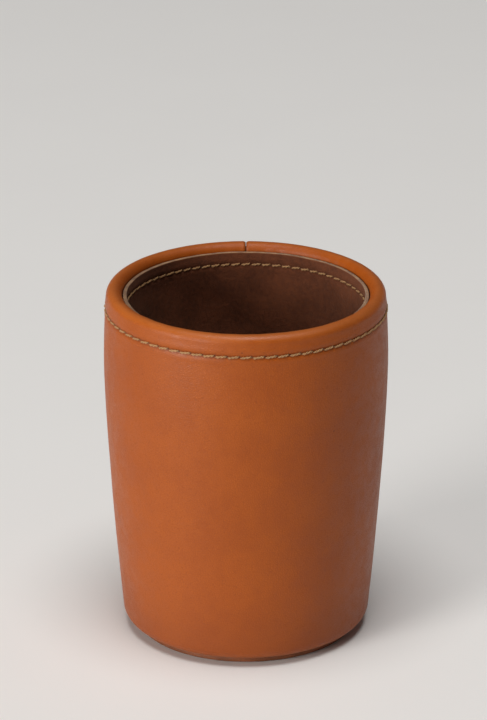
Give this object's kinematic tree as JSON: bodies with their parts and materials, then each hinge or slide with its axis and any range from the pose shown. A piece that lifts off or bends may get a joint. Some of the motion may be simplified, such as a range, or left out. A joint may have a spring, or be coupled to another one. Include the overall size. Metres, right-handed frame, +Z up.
{
  "type": "leather dice cup",
  "caption": "Lined leather dice cup with a turned rim, stitched seams and a felt-padded floor, holding a set of dice.",
  "frame": {"origin": "centre of the base disc's underside, on the surface the cup stands on", "axes": "+Z up along the cup's axis, towards the mouth; +Y towards the side seam at the back"},
  "size_m": [0.075, 0.0751, 0.0949],
  "materials": {
    "smooth_leather": "smooth tan full-grain leather with a satin sheen",
    "sole_leather": "thick vegetable-tanned leather, matt",
    "suede": "reddish brown suede, napped",
    "board": "leatherboard, matt",
    "felt": "dark wool felt",
    "thread": "waxed twisted thread",
    "ivory": "polished ivory-coloured plastic"
  },
  "bodies": {
    "cup": {"outer_leather": "smooth_leather", "seam_backing_strip": "sole_leather", "core_wall": "board", "core_base": "board", "lining_wall": "suede", "floor_pad": "felt", "base_filler": "board", "base_disc": "sole_leather", "rim_stitch_outer": "thread", "rim_stitch_inner": "thread", "seam_stitch_left": "thread", "seam_stitch_right": "thread", "base_stitch": "thread"},
    "die_1": {"die_1": "ivory"},
    "die_2": {"die_2": "ivory"},
    "die_3": {"die_3": "ivory"},
    "die_4": {"die_4": "ivory"},
    "die_5": {"die_5": "ivory"},
    "die_6": {"die_6": "ivory"}
  },
  "joints": [
    {"name": "die_1_lift", "type": "slide", "parent": "cup", "child": "die_1", "axis": [0, 0, 1], "range_m": [0, 0.1]},
    {"name": "die_2_lift", "type": "slide", "parent": "cup", "child": "die_2", "axis": [0, 0, 1], "range_m": [0, 0.1]},
    {"name": "die_3_lift", "type": "slide", "parent": "cup", "child": "die_3", "axis": [0, 0, 1], "range_m": [0, 0.1]},
    {"name": "die_4_lift", "type": "slide", "parent": "cup", "child": "die_4", "axis": [0, 0, 1], "range_m": [0, 0.1]},
    {"name": "die_5_lift", "type": "slide", "parent": "cup", "child": "die_5", "axis": [0, 0, 1], "range_m": [0, 0.1]},
    {"name": "die_6_lift", "type": "slide", "parent": "cup", "child": "die_6", "axis": [0, 0, 1], "range_m": [0, 0.1]}
  ]
}
